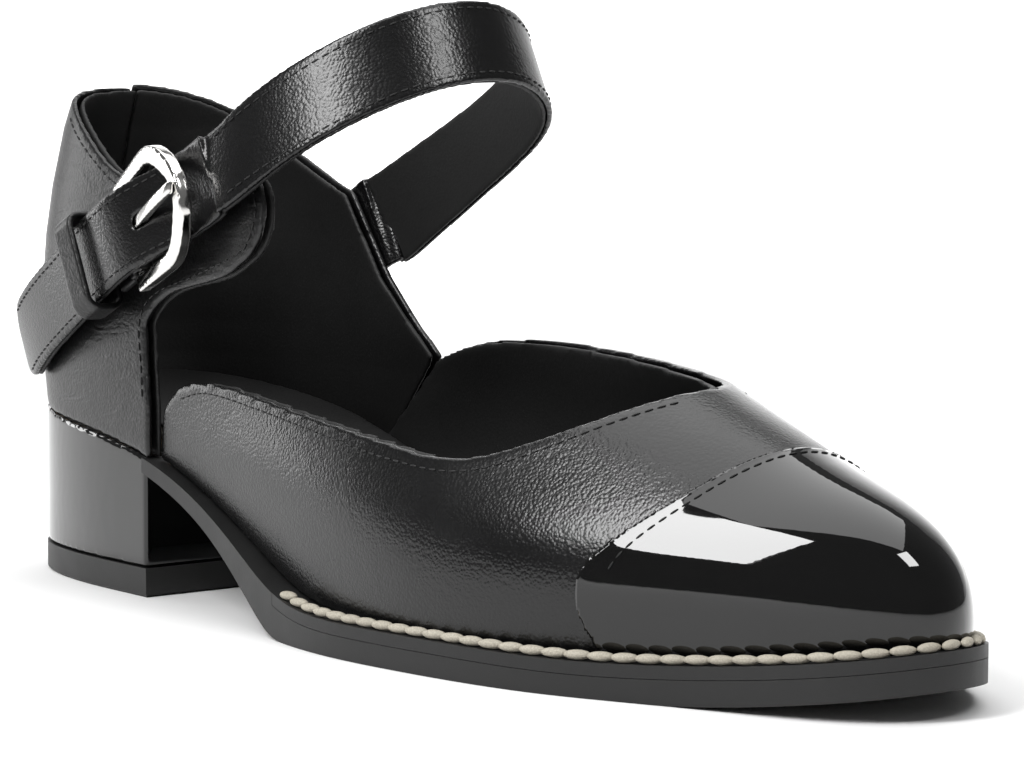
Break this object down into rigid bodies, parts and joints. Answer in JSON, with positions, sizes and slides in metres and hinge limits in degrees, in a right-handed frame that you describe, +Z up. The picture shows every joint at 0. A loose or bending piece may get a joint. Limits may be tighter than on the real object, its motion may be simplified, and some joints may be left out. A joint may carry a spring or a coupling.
{
  "type": "buckled block-heel shoe",
  "caption": "Right d'Orsay shoe with a low block heel, a glossy toe cap, a stitched welt and a buckled strap over the instep.",
  "frame": {"origin": "centre of the shoe's footprint box, on the ground", "axes": "+X towards the toe, +Y to the inner side of the foot, +Z up"},
  "size_m": [0.2485, 0.0806, 0.1166],
  "materials": {
    "grained_leather": "black leather with a fine pebbled grain, semi-gloss",
    "smooth_leather": "black leather with fine wrinkles, semi-gloss",
    "patent_leather": "black patent leather, mirror gloss",
    "lining_leather": "black lining leather, matte",
    "sock_leather": "black sock leather, soft sheen",
    "foam": "latex foam",
    "stiffener_board": "resin-stiffened cloth",
    "fibre_board": "fibre board",
    "cork_filler": "cork and resin",
    "heel_plastic": "moulded heel plastic",
    "lift_rubber": "matte black rubber",
    "sole_rubber": "matte black rubber",
    "welt_rubber": "black rubber strip",
    "light_thread": "waxed cream thread",
    "steel": "steel",
    "polished_nickel": "polished nickel plate"
  },
  "bodies": {
    "root": {"bottom_filler": "cork_filler", "buckle_chape": "smooth_leather", "heel_block": "heel_plastic", "heel_counter": "stiffener_board", "heel_cover": "patent_leather", "heel_nails": "steel", "heel_screw": "steel", "heel_top_lift": "lift_rubber", "inner_quarter": "smooth_leather", "inner_quarter_lining": "lining_leather", "insole_board": "fibre_board", "keeper_loop": "smooth_leather", "outer_quarter": "smooth_leather", "outer_quarter_lining": "lining_leather", "outsole": "sole_rubber", "shank_rivets": "steel", "sock_foam": "foam", "sock_lining": "sock_leather", "steel_shank": "steel", "strap_anchor": "grained_leather", "strap_tail": "grained_leather", "strap_tail_lining": "lining_leather", "toe_cap": "patent_leather", "toe_puff": "stiffener_board", "top_lift_dowels": "steel", "vamp": "grained_leather", "vamp_lining": "lining_leather", "welt": "welt_rubber", "welt_stitching": "light_thread"},
    "strap": {"strap_outer": "grained_leather", "strap_lining": "lining_leather"},
    "buckle": {"buckle_frame": "polished_nickel", "buckle_bar": "polished_nickel"},
    "prong": {"buckle_prong": "polished_nickel"}
  },
  "joints": [
    {"name": "strap_swing", "type": "hinge", "parent": "root", "child": "strap", "pos_m": [-0.06203, 0.03226, 0.0729], "axis": [-0.4305, 0, 0.9026], "range_deg": [0, 95], "deforming": ["strap_tail", "strap_tail_lining"]},
    {"name": "buckle_tilt", "type": "hinge", "parent": "root", "child": "buckle", "pos_m": [-0.06125, -0.03114, 0.07128], "axis": [0.4305, 0, -0.9026], "range_deg": [0, 30]},
    {"name": "prong_swing", "type": "hinge", "parent": "root", "child": "prong", "pos_m": [-0.06125, -0.03114, 0.07128], "axis": [0.4305, 0, -0.9026], "range_deg": [0, 80]}
  ],
  "couplings": [
    {"joint": "buckle_tilt", "follows": "strap_swing", "ratio": 0.26},
    {"joint": "prong_swing", "follows": "strap_swing", "ratio": 0.7}
  ]
}
